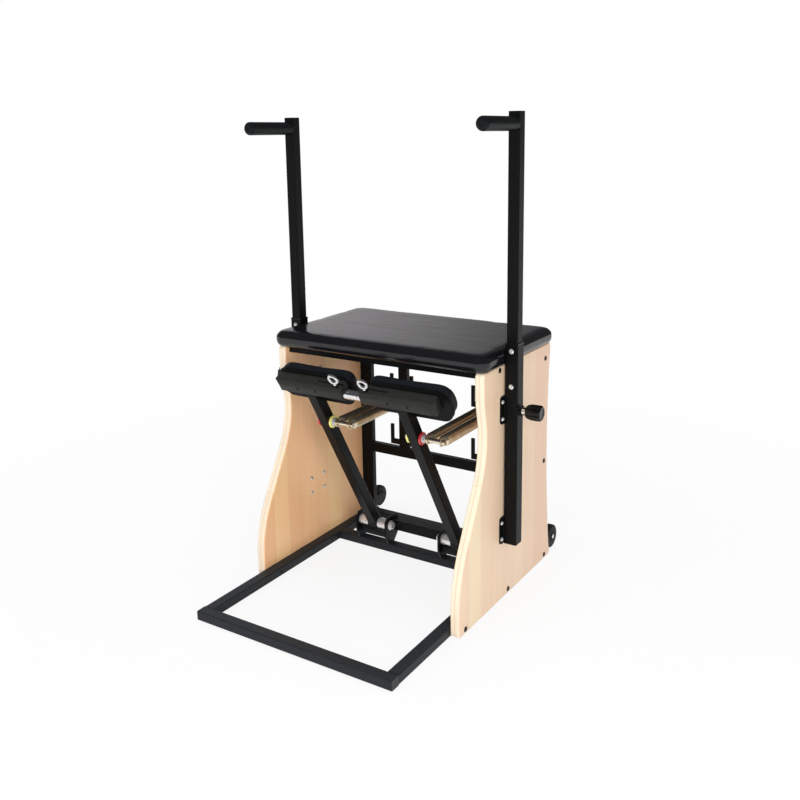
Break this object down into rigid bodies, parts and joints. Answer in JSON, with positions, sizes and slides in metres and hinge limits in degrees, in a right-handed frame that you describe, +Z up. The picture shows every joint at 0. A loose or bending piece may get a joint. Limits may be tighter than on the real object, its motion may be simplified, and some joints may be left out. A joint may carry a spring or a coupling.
{
  "type": "pilates chair",
  "caption": "Exercise chair with wooden side panels, padded seat, sprung split foot pedals and sliding handle posts.",
  "frame": {"origin": "on the floor under the middle of the bounding box", "axes": "+Z up, +X across to the right as seen from the pedals' side, pedals towards -Y"},
  "size_m": [0.8258, 0.8644, 1.238],
  "materials": {
    "panel_wood": "clear-lacquered laminated staves",
    "black_board": "black stain",
    "seat_vinyl": "gloss upholstery vinyl",
    "pedal_vinyl": "satin upholstery vinyl",
    "pedal_rail": "dark satin paint",
    "black_coat": "satin powder coat",
    "black_plastic": "fine texture",
    "bright_steel": "zinc plated",
    "dark_screw": "black oxide",
    "chrome": "polished",
    "spring_wire": "bronze-toned nickel",
    "red_cap": "gloss",
    "yellow_cap": "gloss",
    "grip_vinyl": "satin",
    "wheel_rubber": "matt"
  },
  "bodies": {
    "frame": {"base_cross_tube": "black_coat", "base_front_tube": "black_coat", "base_left_tube": "black_coat", "base_rear_tube": "black_coat", "base_right_tube": "black_coat", "front_tube_caps": "black_plastic", "hook_plates": "black_coat", "knob_collars": "chrome", "left_pivot_bracket": "black_coat", "left_post_sleeve": "black_coat", "left_side_panel": "panel_wood", "left_spring_post": "black_coat", "left_upright": "black_coat", "panel_screws": "dark_screw", "pivot_axles": "bright_steel", "pivot_beam": "black_coat", "pivot_spacers": "bright_steel", "post_guides": "black_plastic", "rear_middle_bar": "black_coat", "rear_top_bar": "black_coat", "right_pivot_bracket": "black_coat", "right_post_sleeve": "black_coat", "right_side_panel": "panel_wood", "right_spring_post": "black_coat", "right_upright": "black_coat", "seat_board": "black_board", "seat_cushion": "seat_vinyl", "sleeve_bolts": "bright_steel", "sleeve_plates": "black_coat", "spring_rear_plugs": "spring_wire", "wheel_brackets": "black_coat"},
    "left_knob": {"left_clamp_knob": "black_plastic"},
    "left_handle_post": {"left_handle_grip": "grip_vinyl", "left_post": "black_coat"},
    "left_ring_pull": {"left_lock_pin": "chrome"},
    "left_pedal": {"left_pedal_arm": "black_coat", "left_pedal_board": "black_board", "left_pedal_cushion": "pedal_vinyl", "left_pedal_rail": "pedal_rail", "left_red_cap": "red_cap", "left_spring_front_plugs": "spring_wire", "left_spring_pin": "dark_screw", "left_springs": "spring_wire", "left_yellow_cap": "yellow_cap"},
    "left_transport_wheel": {"left_wheel": "wheel_rubber"},
    "pedal_link": {"link_dowel": "chrome"},
    "right_knob": {"right_clamp_knob": "black_plastic"},
    "right_handle_post": {"right_handle_grip": "grip_vinyl", "right_post": "black_coat"},
    "right_ring_pull": {"right_lock_pin": "chrome"},
    "right_pedal": {"right_pedal_arm": "black_coat", "right_pedal_board": "black_board", "right_pedal_cushion": "pedal_vinyl", "right_pedal_rail": "pedal_rail", "right_red_cap": "red_cap", "right_spring_front_plugs": "spring_wire", "right_spring_pin": "dark_screw", "right_springs": "spring_wire", "right_yellow_cap": "yellow_cap"},
    "right_transport_wheel": {"right_wheel": "wheel_rubber"}
  },
  "joints": [
    {"name": "left_pedal_press", "type": "hinge", "parent": "frame", "child": "left_pedal", "pos_m": [-0.138, 0.14175, 0.08], "axis": [1, 0, 0], "range_deg": [0, 60], "stiffness_Nm_per_rad": 60, "springref_deg": -28.65, "deforming": ["left_springs"]},
    {"name": "left_post_slide", "type": "slide", "parent": "frame", "child": "left_handle_post", "axis": [0, 0, 1], "range_m": [0, 0.25]},
    {"name": "left_knob_turn", "type": "hinge", "parent": "frame", "child": "left_knob", "pos_m": [-0.373, 0.07275, 0.512], "axis": [-1, 0, 0], "range_deg": [0, 360]},
    {"name": "left_wheel_spin", "type": "hinge", "parent": "frame", "child": "left_transport_wheel", "pos_m": [-0.299, 0.39875, 0.036], "axis": [1, 0, 0], "continuous": true},
    {"name": "left_ring_pull_lift", "type": "slide", "parent": "left_pedal", "child": "left_ring_pull", "axis": [0, -0.5, 0.866], "range_m": [0, 0.008], "stiffness_N_per_m": 400, "springref_m": -0.004},
    {"name": "right_pedal_press", "type": "hinge", "parent": "frame", "child": "right_pedal", "pos_m": [0.138, 0.14175, 0.08], "axis": [1, 0, 0], "range_deg": [0, 60], "stiffness_Nm_per_rad": 60, "springref_deg": -28.65, "deforming": ["right_springs"]},
    {"name": "right_post_slide", "type": "slide", "parent": "frame", "child": "right_handle_post", "axis": [0, 0, 1], "range_m": [0, 0.25]},
    {"name": "right_knob_turn", "type": "hinge", "parent": "frame", "child": "right_knob", "pos_m": [0.373, 0.07275, 0.512], "axis": [1, 0, 0], "range_deg": [0, 360]},
    {"name": "right_wheel_spin", "type": "hinge", "parent": "frame", "child": "right_transport_wheel", "pos_m": [0.299, 0.39875, 0.036], "axis": [1, 0, 0], "continuous": true},
    {"name": "right_ring_pull_lift", "type": "slide", "parent": "right_pedal", "child": "right_ring_pull", "axis": [0, -0.5, 0.866], "range_m": [0, 0.008], "stiffness_N_per_m": 400, "springref_m": -0.004},
    {"name": "pedal_link_slide", "type": "slide", "parent": "left_pedal", "child": "pedal_link", "axis": [1, 0, 0], "range_m": [0, 0.04]}
  ]
}
